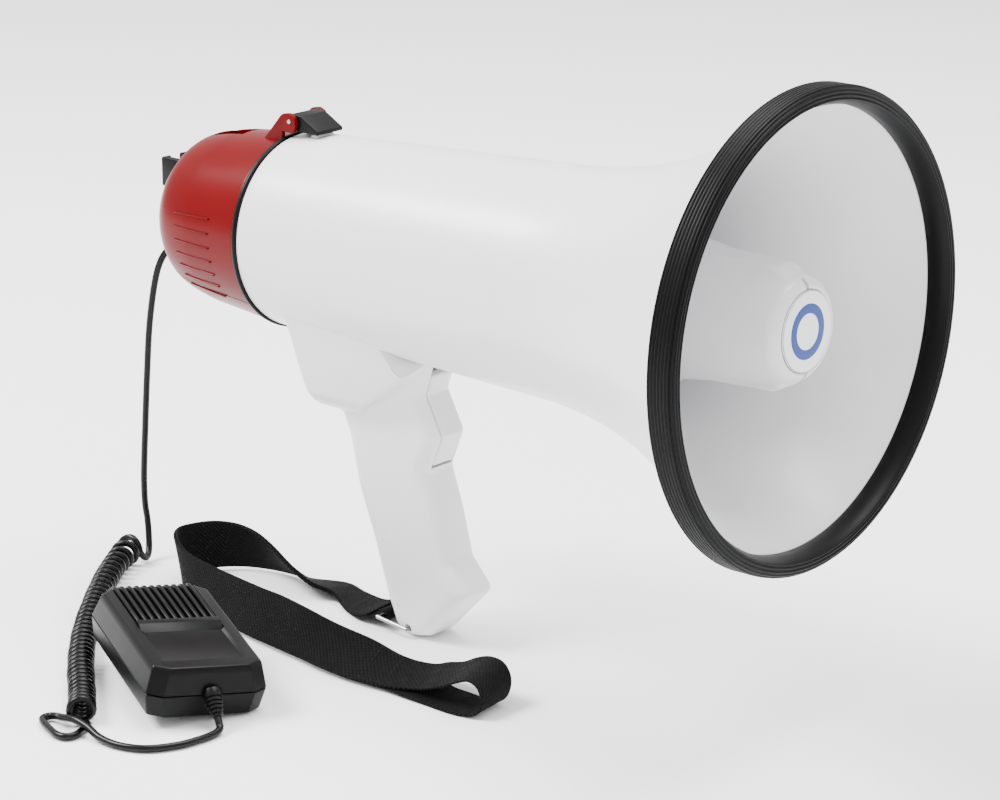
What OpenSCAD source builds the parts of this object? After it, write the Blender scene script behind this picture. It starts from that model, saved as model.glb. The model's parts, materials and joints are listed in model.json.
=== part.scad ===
// Handheld megaphone with a fist microphone on a curly cord and a wrist strap.
// Frame: +X along the horn towards its mouth, +Z up, Z = 0 is the surface that it stands on.
// The horn pieces are drawn about the horn's own axis, with X = 0 at the mouth, and lifted into place.
// The strap, the cord and the microphone are drawn on the surface, with the same X = 0 and Y = 0.

/* [Horn] */
// Outer diameter of the bell over its rubber rim
bell_d = 215; // [213:0.5:217]
// Length from the mouth to the rear end of the white body
body_len = 305; // [303:0.5:307]
// Outer radius of the body at its rear end
body_r = 47.5; // [47:0.1:48]
// Wall thickness of the moulded body
wall = 2.4; // [2:0.1:2.6]
// Height of the horn's axis above the surface
axis_h = 190; // [189:0.5:192]

/* [Reflector] */
// Radius of the reflector's nose before its edge is rounded
nose_r = 24; // [23:0.5:25]
// Half height of the two flat fins
fin_h = 28; // [26:0.5:30]
// Thickness of the fins
fin_t = 16; // [12:1:18]

/* [Grip] */
// Thickness of the grip
grip_t = 26; // [24:0.5:28]
// Width of the trigger
trigger_w = 14; // [12:0.5:15]

/* [Rear cap] */
// Radius of the flat control panel
panel_r = 28.5; // [26:0.5:29]
// Width of the latch
latch_w = 18; // [14:1:18]

/* [Microphone] */
// Width of the microphone's face
mic_w = 52; // [50:1:54]
// Length of the microphone's face
mic_len = 90; // [88:1:92]
// Thickness of the microphone, front to back
mic_t = 25; // [24:0.5:27]

/* [Cord and strap] */
// Diameter of the cord
cord_d = 3.5; // [3:0.1:4]
// Outer diameter of the curly part of the cord
coil_d = 13; // [12:0.5:13.5]
// Thickness of one layer of webbing
web_t = 1.2; // [1:0.1:1.4]

/* [Hidden] */
home_x = 196.5;
home_y = 36;
bell_r = bell_d / 2;
flare_len = 140;
flare_rise = 49.8;
flare_power = 2.18;
body_taper = 0.04;
lip_back = 11;
lip_r = bell_r - 6;
gap = 0.1;
ring_x = -body_len;
gasket_t = 2.5;
cap_x = ring_x - gasket_t - gap;
cap_back_x = -375;
cap_wall = 2.2;
pin_x = -303;
pin_z = 55;
driver_x = -152;
cell_r = 13;
cell_len = 50;
trigger_x = -222;
trigger_z = -63;
strap_x = -228.5;
strap_z = -185;
bail_len = 17.5;
bail_tilt = 7;
bail_r = 0.9;
knob_y = 15;
knob_z = -6;
hook_screw_y = 3.4;
hook_screw_z = 20;
gland_y = 2;
gland_z = -21;
record_y = -13;
record_z = -14;
panel_screw_y = 23.5;
panel_screw_z = 9;
mic_place = [-222.3, -151.6, 26.7];
mic_turn = [6, -7, 153.9];
screw_xz = [[-276, -60], [-247, -58], [-250, -128], [-214, -168]];

// ---------- helpers ----------

// Outer radius of the white body at x, with the flare of the bell.
function horn_r(x) = body_r + body_taper * (x + body_len)
    + (x > -flare_len ? flare_rise * pow((x + flare_len) / flare_len, flare_power) : 0);

// Smooth curve through a list of points: steps points for each stretch.
function spline(p, steps) = concat([for (i = [0 : len(p) - 2]) for (k = [0 : steps - 1])
    spline_point(p[max(i - 1, 0)], p[i], p[i + 1], p[min(i + 2, len(p) - 1)], k / steps)],
    [p[len(p) - 1]]);
function spline_point(a, b, c, d, t) = 0.5 * (2 * b + (c - a) * t
    + (2 * a - 5 * b + 4 * c - d) * t * t + (3 * b - a - 3 * c + d) * t * t * t);

function unit(v) = v / norm(v);
function heading(p, i) = unit(p[min(i + 1, len(p) - 1)] - p[max(i - 1, 0)]);

module horn_frame() translate([home_x, home_y, axis_h]) children();
module ground_frame() translate([home_x, home_y, 0]) children();
module mic_frame() ground_frame() translate(mic_place) rotate(mic_turn) children();

// A turned piece about the horn's axis, from [radius, x] points.
module turned(points) rotate([0, 90, 0]) rotate_extrude($fn = 96) polygon(points);
// A cylinder along X from x0, of length l.
module rod_x(x0, l, r) translate([x0, 0, 0]) rotate([0, 90, 0]) cylinder(h = l, r = r, $fn = 48);
// A cylinder along Y, centred on y = 0.
module rod_y(l, r) rotate([90, 0, 0]) cylinder(h = l, r = r, center = true, $fn = 32);
// A plate whose outline is drawn in X and Z, centred on y = 0.
module side_plate(points, t) rotate([90, 0, 0]) linear_extrude(t, center = true) polygon(points);

// A round tube along a path; the reference direction is never along the path.
module tube(p, r, sides, ref) {
    rings = [for (i = [0 : len(p) - 1])
        let (t = heading(p, i), a = unit(cross(t, ref)), b = cross(t, a))
        for (k = [0 : sides - 1]) p[i] + r * (cos(360 * k / sides) * a + sin(360 * k / sides) * b)];
    n = len(p);
    wall_faces = [for (i = [0 : n - 2]) for (k = [0 : sides - 1])
        let (a = i * sides + k, b = i * sides + (k + 1) % sides, c = b + sides, d = a + sides)
        for (f = [[a, d, c], [a, c, b]]) f];
    first = [for (k = [0 : sides - 1]) k];
    last = [for (k = [sides - 1 : -1 : 0]) (n - 1) * sides + k];
    polyhedron(rings, concat(wall_faces, [first, last]));
}

// A flat band between two edge curves, t thick.
module band(edge_a, edge_b, t) {
    n = len(edge_a);
    corners = [for (i = [0 : n - 1])
        let (m = (edge_a[i] + edge_b[i]) / 2,
             along = unit((edge_a[min(i + 1, n - 1)] + edge_b[min(i + 1, n - 1)]
                 - edge_a[max(i - 1, 0)] - edge_b[max(i - 1, 0)]) / 2),
             out = unit(cross(along, edge_b[i] - edge_a[i])) * t / 2)
        for (c = [edge_a[i] + out, edge_b[i] + out, edge_b[i] - out, edge_a[i] - out]) c];
    wall_faces = [for (i = [0 : n - 2]) for (k = [0 : 3])
        let (a = i * 4 + k, b = i * 4 + (k + 1) % 4, c = b + 4, d = a + 4)
        for (f = [[a, b, c], [a, c, d]]) f];
    end = 4 * (n - 1);
    polyhedron(corners, concat(wall_faces, [[2, 1, 0], [3, 2, 0], [end, end + 1, end + 2],
        [end, end + 2, end + 3]]));
}

// ---------- horn ----------

horn_stations = concat([-305, -262, -222, -182, -150], [for (i = [0 : 16]) -139 + i * 8]);

module horn_body() color("white") horn_frame() {
    outer = [for (x = horn_stations) [horn_r(x), x]];
    inner = [for (i = [len(horn_stations) - 1 : -1 : 0])
        [horn_r(horn_stations[i]) - wall, horn_stations[i]]];
    turned(concat(outer, [[lip_r, -lip_back], [lip_r, -3.6], [lip_r - 1.8, -3.6],
        [lip_r - 1.8, -lip_back]], inner));
    // low catch that the latch closes over
    translate([-294, -6, horn_r(-294) - 1]) cube([4, 12, 2]);
}

// Rubber rim with moulded ridges round its side and one groove in its face.
module bell_rim() color("#202020") horn_frame() {
    side_ridges = [for (i = [2 : -1 : 0]) for (p = [[0, 2.2], [0.9, 1.5], [0, 0.8]])
        [bell_r - p[0], -3.2 - i * 2.9 - p[1]]];
    turned(concat([[lip_r + 0.1, -12.5], [bell_r, -12.5]], side_ridges,
        [[bell_r, -3.2], [bell_r - 1, -1.3], [bell_r - 3.2, 0], [bell_r - 3.8, 0], [bell_r - 4.3, -0.8],
         [bell_r - 4.8, 0], [bell_r - 6.6, 0], [bell_r - 7.4, -0.8], [bell_r - 9, -5],
         [bell_r - 9, -lip_back + 0.1], [lip_r - 1.9, -lip_back + 0.1], [lip_r - 1.9, -3.5],
         [lip_r + 0.1, -3.5]]));
}

// Bell-shaped reflector: closed at its nose, open at its rear, on two fins that reach the bell.
module reflector() color("whitesmoke") horn_frame() {
    cone = 0.14;
    rear = -118;
    difference() {
        union() {
            turned([[0, -9], [18.4, -9], [18.6, -8.2], [19.6, -8.2], [22.4, -10], [nose_r, -14],
                [nose_r + cone * (-14 - rear), rear], [0, rear]]);
            for (s = [1, -1])
                side_plate([[-14, 0], [-14, s * fin_h * 0.72], [-16, s * fin_h * 0.92],
                    [-21, s * fin_h], [-72, s * (fin_h + 1.5)], [-98, s * 54], [rear, s * 52.6],
                    [rear, 0]], fin_t);
        }
        turned([[0, -11], [16, -11], [nose_r - 2.2, -17],
            [nose_r - 2.2 + cone * (-17 - rear), rear - 1], [0, rear - 1]]);
    }
}

module badge_disc() color("#3a74c0") horn_frame() rod_x(-8.9, 1.1, 18.2);

// Inner horn that carries the sound from the driver into the reflector.
module throat_horn() color("whitesmoke") horn_frame()
    turned([[9, driver_x], [11, driver_x], [12.5, -120], [16, -80], [21.5, -48], [19.8, -48],
        [14.2, -80], [10.6, -120]]);

// Partition between the bell and the battery compartment.
module bulkhead() color("whitesmoke") horn_frame() difference() {
    r = horn_r(-158) - wall - 0.3;
    turned([[24, -158], [r, -158], [r, -155], [24, -155]]);
    for (a = [45 : 90 : 315]) rotate([a, 0, 0]) translate([-159, 0, 32]) rotate([0, 90, 0])
        cylinder(h = 5, r = 1.6, $fn = 24);
}

// Flange and front plate of the horn driver, with its throat.
module driver_frame() color("#6a6c70") horn_frame() difference() {
    turned([[6, -164], [38, -164], [38, -158.1], [23.8, -158.1], [23.8, driver_x - 0.1], [9, driver_x - 0.1],
        [9, -158], [6, -160]]);
    for (a = [45 : 90 : 315]) rotate([a, 0, 0]) translate([-165, 0, 32]) rotate([0, 90, 0])
        cylinder(h = 8, r = 1.6, $fn = 24);
}

// Ferrite ring with its back plate and pole piece.
module driver_magnet() color("#3c3c40") horn_frame() {
    turned([[16, -182], [31, -182], [31, -168], [16, -168]]);
    turned([[0, -187], [28, -187], [28, -182], [12.2, -182], [12.2, -167.5], [0, -167.5]]);
}

// Domed diaphragm with its coil former and its clamping ring.
module diaphragm() color("#c9a45c") horn_frame()
    turned([[0, -167.2], [8, -166.6], [13.2, -165.2], [13.2, -172], [13.6, -172], [13.6, -165.2],
        [20, -165.2], [20, -167.9], [30, -167.9], [30, -164.1], [20, -164.1], [20, -164.9],
        [13, -164.9], [8, -166.3], [0, -166.9]]);

// Rack of two end plates on a centre post, round which the cells sit.
module battery_holder() color("#2b2b2e") horn_frame() {
    turned([[0, -299.5], [37, -299.5], [37, -297.5], [4, -297.5], [4, -248.5], [20, -248.5],
        [20, -247.5], [4, -247.5], [4, -195.5], [37, -195.5], [37, -193.5], [0, -193.5]]);
    for (a = [0 : 90 : 270]) rotate([a, 0, 0]) translate([-298.5, -2.5, 29])
        cube([104, 5, 3]);
}

// Eight C cells in two layers of four.
module battery_cells() color("#b8862b") horn_frame()
    for (layer = [0, 1]) for (sy = [-1, 1]) for (sz = [-1, 1])
        translate([-247.3 - (1 - layer) * (cell_len - 0.2) + layer * 1.2, sy * 13.4, sz * 13.4]) {
            rod_x(0.6, cell_len - 3.6, cell_r);
            rod_x(cell_len - 3, 1.4, 3.5);
        }

// Terminal plates on the holder's end plates.
module battery_contacts() color("silver") horn_frame()
    for (x = [-297.4, -196.1]) for (sy = [-1, 1]) translate([x, sy * 13.4 - 6, -20])
        cube([0.5, 12, 40]);

module gasket_ring() color("#262626") horn_frame()
    turned([[44.9, ring_x - gasket_t], [48.4, ring_x - gasket_t], [48.4, ring_x - 0.05],
        [44.9, ring_x - 0.05]]);

// ---------- grip ----------

// Side outline of the grip below its saddle.
grip_front = [[-213.5, -46], [-217.5, -58], [-220.5, -67], [-210.5, -86], [-218, -101.5], [-217.2, -106],
    [-211, -125], [-205.5, -146], [-201.5, -153], [-194, -160], [-194.5, -165], [-217, -186]];
grip_rear = [[-222, -189], [-230, -190], [-235.5, -188.5], [-239, -184], [-243, -174],
    [-253, -143], [-262, -120], [-268, -94], [-272, -85], [-284, -82], [-287, -76], [-287, -34]];
grip_hollow = [[-236, -53], [-238, -106], [-221.5, -108], [-214.2, -126], [-208.5, -147],
    [-204, -155], [-198, -162], [-216, -179], [-225, -181], [-238, -172], [-258, -116], [-263, -92],
    [-268, -80], [-283, -76], [-283, -53]];
// Step on both sides where the wide saddle ends above the trigger.
saddle_step = [[-228, -38], [-190, -38], [-190, -56], [-222, -56]];

module saddle() hull() {
    translate([-287, -32, -36]) cube([71, 64, 2]);
    translate([-286.5, -26.5, -56]) cube([68.5, 53, 2]);
    translate([-285.5, -21, -75]) cube([42, 42, 2]);
    translate([-281, -14, -81.5]) cube([28, 28, 2]);
}

module grip_solid() difference() {
    union() {
        difference() {
            union() {
                side_plate(concat(grip_front, grip_rear), grip_t);
                saddle();
            }
            side_plate(grip_hollow, grip_t - 5);
        }
        // bosses for the screws
        for (p = screw_xz) translate([p[0], 0, p[1]]) rod_y(grip_t - 4, 4);
    }
    // seat for the round body
    turned([[0, -300], [horn_r(-300) + 0.05, -300], [horn_r(-200) + 0.05, -200], [0, -200]]);
    // slot for the trigger, with a pocket for its switch
    side_plate([[-200, -54], [-227, -52], [-231.5, -70], [-234, -103], [-200, -103]],
        trigger_w + 0.8);
    translate([-242, -3.1, -80.1]) cube([14, 6.2, 12.2]);
    for (side = [1, -1]) translate([0, side * 27, 0]) side_plate(saddle_step, 30);
    for (p = screw_xz) translate([p[0], 2, p[1]]) rod_y(17, 1.4);
    // pin hole and the strap bail's holes
    translate([trigger_x, 0, trigger_z]) rod_y(22, 1.55);
    translate([strap_x, 0, strap_z]) rod_y(60, 2);
}

module grip_half(side) color("white") horn_frame() difference() {
    grip_solid();
    translate([-300, side > 0 ? -59.98 : -0.02, -200]) cube([120, 60, 200]);
    if (side > 0) for (p = screw_xz) translate([p[0], 50 + grip_t / 2 - 3, p[1]]) rod_y(100, 3.2);
}
module grip_right() grip_half(-1);
module grip_left() grip_half(1);

// Screws from the left side that pull the two halves together.
module grip_screws() color("silver") horn_frame() for (p = screw_xz)
    translate([p[0], 0, p[1]]) {
        translate([0, grip_t / 2 - 2, 0]) rod_y(1.8, 2.9);
        translate([0, 2, 0]) rod_y(16.2, 1.3);
    }

// Talk trigger in the front of the grip, which turns about a pin at its top.
module trigger() color("whitesmoke") horn_frame() difference() {
    side_plate([[-216.5, -57], [-218, -62], [-219.5, -67], [-209.5, -85.5], [-216, -99], [-216.3, -101.5],
        [-224.5, -101.5], [-226.5, -84], [-227, -70], [-226.5, -58.5], [-222, -56.5]], trigger_w);
    translate([trigger_x, 0, trigger_z]) rod_y(30, 1.55);
}

module trigger_pin() color("silver") horn_frame() translate([trigger_x, 0, trigger_z]) rod_y(21, 1.5);

// Coil spring that pushes the trigger out.
module trigger_spring() color("silver") horn_frame() translate([-233.2, 0, -92]) {
    turns = 4;
    len_x = 6.8;
    tube([for (i = [0 : 40]) [0.5 + (len_x - 1) * i / 40, 2.4 * cos(360 * turns * i / 40),
        2.4 * sin(360 * turns * i / 40)]], 0.35, 6, [1, 0.01, 0]);
}

// Small switch that the trigger works.
module trigger_switch() color("#303034") horn_frame() {
    translate([-240.5, -3, -80]) cube([7, 6, 12]);
    translate([-233.5, -1, -77]) cube([5, 2, 2]);
}

// Wire bail: two legs beside the grip, ends turned into it, and a bar for the webbing.
module strap_bail() color("silver") horn_frame() translate([strap_x, 0, strap_z]) {
    bar_y = grip_t / 2 + 1.6;
    leg_end = bail_r + 0.1;
    for (s = [1, -1]) {
        translate([0, s * (bar_y - 2.6), 0]) rod_y(5.2, bail_r);
        translate([0, s * bar_y, 0]) rotate([0, -bail_tilt, 180])
            rod_x(-leg_end, bail_len + 2 * leg_end, bail_r + 0.05);
    }
    translate([-bail_len * cos(bail_tilt), 0, bail_len * sin(bail_tilt)]) rod_y(2 * bar_y, bail_r);
}

// ---------- strap ----------

// Edges of the folded webbing from the bail to the hand loop, on the surface.
strap_near = [[-248.2, -12.5, 7], [-255, -12.5, 5], [-263, -11.5, 2.8], [-276, -6, 2], [-290, 0, 5], [-302, -4, 9],
    [-316, -4, 15], [-331, 0, 20], [-346, 3, 24], [-361, 4, 25.5], [-373, 0, 25.5], [-380, -9, 25],
    [-379, -20, 25.5], [-367, -33, 26], [-349, -43, 25], [-322, -49, 24.5], [-287, -55, 24.5],
    [-270, -57, 24.5], [-250, -60, 23.5], [-231, -58, 19], [-213, -54, 14.5], [-196, -51, 9],
    [-183, -46, 7]];
strap_far = [[-248.2, 12.5, 7], [-257, 12.5, 5.5], [-267, 13, 3], [-284, 17.5, 1.8], [-300, 21, 2], [-318, 14, 2],
    [-329, 16, 2], [-340, 15, 2], [-350, 12, 2], [-359, 7, 2], [-366, 0, 2], [-370.5, -9, 2],
    [-369, -20, 2], [-361, -33, 2], [-344, -47, 2], [-319, -56, 2], [-288, -64, 2], [-270, -67, 2],
    [-250, -70, 2], [-231, -74, 2.5], [-211, -75.5, 2.5], [-190, -74, 2.5], [-173, -69.5, 3.5]];
// Edges of the hand loop's single layer, over its top and back along the surface.
loop_near = [[-183, -46, 8], [-174, -44, 10], [-165, -44, 12.5], [-157, -44, 16.5], [-149, -44, 19],
    [-141, -44.5, 18.5], [-135.5, -46, 14], [-134.5, -47.5, 8], [-137, -49, 3], [-144, -50, 0.8],
    [-155, -50, 0.8], [-168, -50, 0.8], [-180, -48.5, 0.8]];
loop_far = [[-173, -69.5, 4.5], [-165, -69, 6.5], [-157, -69, 9.5], [-149, -69, 13.5],
    [-142, -69, 16], [-136, -69.5, 14.5], [-132.5, -70.5, 9.5], [-133, -71.5, 4.5],
    [-137.5, -73, 1.5], [-146, -74.5, 0.8], [-158, -74.5, 0.8], [-172, -74, 0.8],
    [-186, -73, 0.8]];

module wrist_strap() color("#1c1c1e") ground_frame() {
    band(spline(strap_near, 2), spline(strap_far, 2), 2 * web_t);
    band(spline(loop_near, 2), spline(loop_far, 2), web_t);
    // hem sewn round the bail's bar
    translate([strap_x - bail_len * cos(bail_tilt), 0, axis_h + strap_z + bail_len * sin(bail_tilt)])
        difference() {
            rod_y(25, 3.4);
            rod_y(30, 2.2);
        }
}

// ---------- rear cap ----------

module rear_cap() color("#c4121c") horn_frame() {
    outer = [[47.5, cap_x], [44.3, -340], [42.6, -352], [41.3, -358], [39.7, -363], [37.5, -367],
        [34.2, -371], [31.2, -374], [29.7, cap_back_x]];
    inner = [[31.6, -371], [35, -366.8], [37.3, -362.5], [39, -357], [40.2, -351]];
    difference() {
        union() {
            turned(concat(outer, [[panel_r + 0.1, cap_back_x], [panel_r + 0.1, cap_back_x + cap_wall]],
                inner, [[42.4, cap_x - 6], [42.4, cap_x + 10], [44.3, cap_x + 10], [44.3, cap_x]]));
            side_plate([[-360.6, 34], [-360.6, 38.6], [-335.7, 42.5], [-335.7, 37.2]], 20);
        }
        // thumb recess on top
        side_plate([[-357.5, 36.7], [-339.3, 39.4], [-336.6, 50], [-360.7, 50]], 16);
    }
    // ears that carry the latch
    for (s = [1, -1]) translate([0, s * (latch_w / 2 + 1.3), 0]) difference() {
        union() {
            side_plate([[-319, 45], [-307.8, 45], [-307.8, 49.4], [-300.5, 49.4], [-299.2, 53.6],
                [-304, 58.8], [-307.5, 58.4]], 2.2);
            translate([pin_x, 0, pin_z]) rod_y(2.2, 4);
        }
        translate([pin_x, 0, pin_z]) rod_y(5, 1.5);
    }
    // grip ribs on both sides
    for (s = [1, -1]) for (i = [0 : 6]) rotate([s * (78 + i * 9), 0, 0])
        side_plate([[-351, 41.6], [-351, 43.6], [-327, 46.5], [-327, 44.4]], 1);
}

// Round black panel with the holes for the controls.
module control_panel() color("#242426") horn_frame() difference() {
    rod_x(cap_back_x, 2.5, panel_r);
    translate([cap_back_x - 1, knob_y, knob_z]) rod_x(0, 5, 3.6);
    translate([cap_back_x - 1, gland_y, gland_z]) rod_x(0, 5, 3.5);
    translate([cap_back_x - 1, record_y, record_z]) rod_x(0, 5, 3.7);
    translate([cap_back_x - 1, -20, 0.4]) cube([5, 13, 3.4]);
    for (s = [1, -1]) translate([cap_back_x - 1, s * panel_screw_y, panel_screw_z]) rod_x(0, 5, 1.5);
    for (s = [1, -1]) translate([cap_back_x - 1, s * hook_screw_y, hook_screw_z]) rod_x(0, 5, 1.4);
}

module panel_screws() color("silver") horn_frame() for (s = [1, -1]) {
    translate([cap_back_x - 1.2, s * panel_screw_y, panel_screw_z]) rod_x(0, 1.1, 2.6);
    translate([cap_back_x - 0.2, s * panel_screw_y, panel_screw_z]) rod_x(0, 7, 1.4);
}

// Amplifier board behind the panel.
module amplifier_board() color("#2f7a45") horn_frame() {
    translate([-352, -27, -26]) cube([1.6, 54, 52]);
    translate([-350.4, -12, -10]) cube([12, 24, 5]);
    for (s = [1, -1]) translate([-350.4, s * 16, 12]) rod_x(0, 14, 5);
}

// Volume control: its case, its bush and its shaft.
module volume_pot() color("#8a8d92") horn_frame() translate([0, knob_y, knob_z]) {
    rod_x(-372.4, 8, 8);
    rod_x(-376.5, 4.2, 3.4);
    rod_x(-384, 8, 2.9);
}

module volume_knob() color("#1f1f22") horn_frame() translate([0, knob_y, knob_z]) difference() {
    union() {
        rod_x(-387, 10.2, 7);
        for (a = [0 : 20 : 340]) rotate([a, 0, 0]) translate([-386, -0.5, 6.5]) cube([8.5, 1, 1.1]);
    }
    rod_x(-384.5, 9, 2.95);
}

// Slide switch for talk or siren.
module mode_switch() color("#d8d8da") horn_frame() {
    translate([-378, -18.5, 0.7]) cube([6, 4, 2.8]);
    translate([-371.8, -20, -0.6]) cube([2, 7, 5.4]);
}

module record_button() color("#c4121c") horn_frame() translate([0, record_y, record_z]) {
    rod_x(-377.5, 6.5, 3.4);
    rod_x(-372, 1, 4.6);
}

// Slotted bracket that holds the microphone by its button.
module mic_hook() color("#1d1d20") horn_frame() difference() {
    translate([-395, -9, 10]) cube([395 + cap_back_x - gap, 18, 15]);
    translate([-392.5, -6.5, 12.5]) cube([14.2, 13, 15]);
    translate([-396, -4.2, 15]) cube([6, 8.4, 12]);
    for (s = [1, -1]) translate([cap_back_x - 4, s * hook_screw_y, hook_screw_z]) rod_x(0, 5, 1.4);
}

module hook_screws() color("silver") horn_frame() for (s = [1, -1])
    translate([cap_back_x - 3.2, s * hook_screw_y, hook_screw_z]) {
        rod_x(-1.2, 1.1, 2.5);
        rod_x(-0.2, 9, 1.3);
    }

// Latch lever that holds the cap to the body.
module latch() color("#232325") horn_frame() difference() {
    union() {
        side_plate([[-303, 51.2], [-299.5, 49.9], [-287, 49.9], [-287, 51.2], [-298, 57.8],
            [-303, 58.7]], latch_w);
        translate([pin_x, 0, pin_z]) rod_y(latch_w, 3.8);
    }
    translate([pin_x, 0, pin_z]) rod_y(30, 1.55);
    translate([-306, -7, 48]) cube([12, 14, 3.2]);
}

module latch_pin() color("silver") horn_frame() translate([pin_x, 0, pin_z]) rod_y(latch_w + 5.2, 1.5);

// Rubber gland where the cord leaves the panel.
module cord_gland() color("#1b1b1d") horn_frame() translate([0, gland_y, gland_z])
    difference() {
        union() {
            rod_x(-383, 13, 3.4);
            rod_x(-376.4, 1.3, 5);
            rod_x(-371.8, 1, 5);
        }
        rod_x(-384, 8, cord_d / 2 + 0.05);
    }

// ---------- microphone ----------

// Outline across the microphone, with cut corners; grow widens it, cut is the corner's size.
module mic_outline(x0, x1, w, cut) polygon([[x0, -w + cut], [x0 + cut * 0.6, -w], [x1 - cut, -w],
    [x1, -w + cut], [x1, w - cut], [x1 - cut, w], [x0 + cut * 0.6, w], [x0, w - cut]]);

module mic_loft(z0, x0, x1, w0, z1, x2, x3, w1) hull() {
    translate([0, 0, z0 - 0.1]) linear_extrude(0.1) mic_outline(x0, x1, w0, 7);
    translate([0, 0, z1]) linear_extrude(0.1) mic_outline(x2, x3, w1, 7);
}

module mic_front_shell() color("#222224") mic_frame() difference() {
    mic_loft(0, 2, mic_len, mic_w / 2, -12.8, -1, mic_len + 3, mic_w / 2 + 3);
    mic_loft(-2.2, 6, mic_len - 4, mic_w / 2 - 3, -14, 1.5, mic_len + 0.5, mic_w / 2 + 0.6);
    translate([10, -20, -1.4]) cube([31, 40, 3]);
    translate([41.2, -20.3, -4]) cube([46.4, 40.6, 6]);
    translate([-5, -1, -12.8]) rod_x(0, 10, 3);
    translate([47, -40, -16]) cube([24, 20, 7.5]);
}

module mic_back_shell() color("#1e1e20") mic_frame() difference() {
    union() {
        mic_loft(-13, -1, mic_len + 3, mic_w / 2 + 3, -22.6, 0, mic_len + 2, mic_w / 2 + 1.5);
        mic_loft(-22.5, 0.1, mic_len + 1.9, mic_w / 2 + 1.4, -mic_t, 4, mic_len - 2, mic_w / 2 - 3);
    }
    mic_loft(-12.8, 1.5, mic_len + 0.5, mic_w / 2 + 0.6, -mic_t + 2.3, 7, mic_len - 6, mic_w / 2 - 6);
    translate([-5, -1, -12.8]) rod_x(0, 10, 3);
    translate([47, -40, -20.5]) cube([24, 20, 8]);
    translate([68, 0, -20]) cylinder(h = 12, r = 1.6, center = true, $fn = 24);
    for (p = [[14, 16], [14, -16], [80, 0]]) translate([p[0], p[1], -20])
        cylinder(h = 14, r = 1.4, center = true, $fn = 24);
}

// Grille insert with eleven ribs and a cross bar.
module mic_grille() color("#18181a") mic_frame() {
    translate([41.4, -20.1, -3.6]) cube([46, 40.2, 2.2]);
    for (i = [0 : 10]) translate([52, -19.3 + i * 3.7, -1.6]) cube([35.4, 1.6, 2.6]);
    translate([41.4, -20.1, -1.6]) cube([9.6, 40.2, 2.7]);
}

module mic_talk_button() color("#2c2c30") mic_frame()
    translate([47.6, -mic_w / 2 - 6, -19.6]) cube([22.8, 8, 10]);

module mic_capsule() color("#9a9ca0") mic_frame() translate([68, 0, -9.5])
    cylinder(h = 5.5, r = 5, $fn = 48);

module mic_board() color("#2f7a45") mic_frame() {
    translate([30, -15, -18]) cube([46, 30, 1.6]);
    translate([53, -20.5, -16.2]) cube([12, 6, 6]);
}

module mic_hang_button() color("#151517") mic_frame() translate([68, 0, 0]) {
    translate([0, 0, -mic_t - 6.2]) cylinder(h = 6.1, r = 4, $fn = 48);
    translate([0, 0, -mic_t - 9.2]) cylinder(h = 3, r = 7, $fn = 48);
    translate([0, 0, -mic_t - 0.2]) cylinder(h = 6, r = 1.4, $fn = 24);
}

module mic_screws() color("silver") mic_frame() for (p = [[14, 16], [14, -16], [80, 0]])
    translate([p[0], p[1], 0]) {
        translate([0, 0, -mic_t - 0.9]) cylinder(h = 0.8, r = 2.4, $fn = 32);
        translate([0, 0, -mic_t - 0.2]) cylinder(h = 8, r = 1.25, $fn = 24);
    }

// Ribbed strain relief at the cord end, drooping towards the surface.
module mic_strain_relief() color("#161618") mic_frame() translate([0, -1, -12.8]) {
    rod_x(-3, 7, 2.9);
    translate([-2.5, 0, 0]) rotate([0, -35, 0]) difference() {
        union() {
            rod_x(-10, 10.5, 2.6);
            for (i = [0 : 2]) rod_x(-4.4 - i * 2.3, 1.4, 4.6 - i * 0.5);
        }
        rod_x(-11, 8, cord_d / 2 + 0.05);
    }
}

// ---------- cord ----------

// Route of the lead from the panel's gland down to the curly part, on the surface.
lead_route = [[-380, 2, 169], [-390, 2, 169], [-398, 0.5, 166.5], [-403.5, -2, 160],
    [-407, -4, 148], [-410, -6, 125], [-411, -8, 98], [-412.5, -9, 70], [-414, -9.5, 45],
    [-414, -9.5, 30], [-412.5, -9.5, 20], [-411.5, -10.5, 12], [-411, -13.5, 7.6], [-411, -17.5, 6.7],
    [-411, -20.4, 6.7]];
// Centre line of the curly part.
coil_route = [[-411, -21, 6.7], [-411, -25, 6.7], [-406, -36, 6.7], [-398, -49, 6.7],
    [-385, -67, 6.7], [-366, -91, 6.7], [-344, -117, 6.7], [-322, -140, 6.7], [-302, -159, 6.7],
    [-285, -174, 6.7], [-272, -186, 6.7], [-266, -192, 6.7]];
// Route from the curly part's other end, round a small loop, to the microphone.
tail_route = [[-265.2, -193.3, 2.2], [-261, -199, 2], [-257, -204, 2], [-257.5, -208.5, 2],
    [-263, -209.5, 2], [-271, -206.5, 2], [-279, -201.5, 2], [-281.5, -198, 2.3], [-278.5, -196.5, 3],
    [-272, -198.2, 4.6], [-263, -198.8, 6], [-254, -199.2, 4.8], [-245, -200.4, 2.6], [-233, -200.2, 2],
    [-221, -195, 2], [-213.5, -184, 2], [-210.8, -174, 2], [-210, -166, 2], [-210.3, -161.5, 2.2],
    [-211.4, -158.4, 3], [-213.3, -157.2, 4.9], [-215.2, -156.1, 6.9], [-216.8, -155.2, 8.5]];

module cord_lead() color("#141416") ground_frame() tube(spline(lead_route, 2), cord_d / 2, 8, [1, -1, 1]);
module cord_coil() color("#141416") ground_frame() tube(spline(coil_route, 2), coil_d / 2, 12, [0, 0, 1]);
module cord_tail() color("#141416") ground_frame() tube(spline(tail_route, 2), cord_d / 2, 8, [0, 0, 1]);

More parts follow.
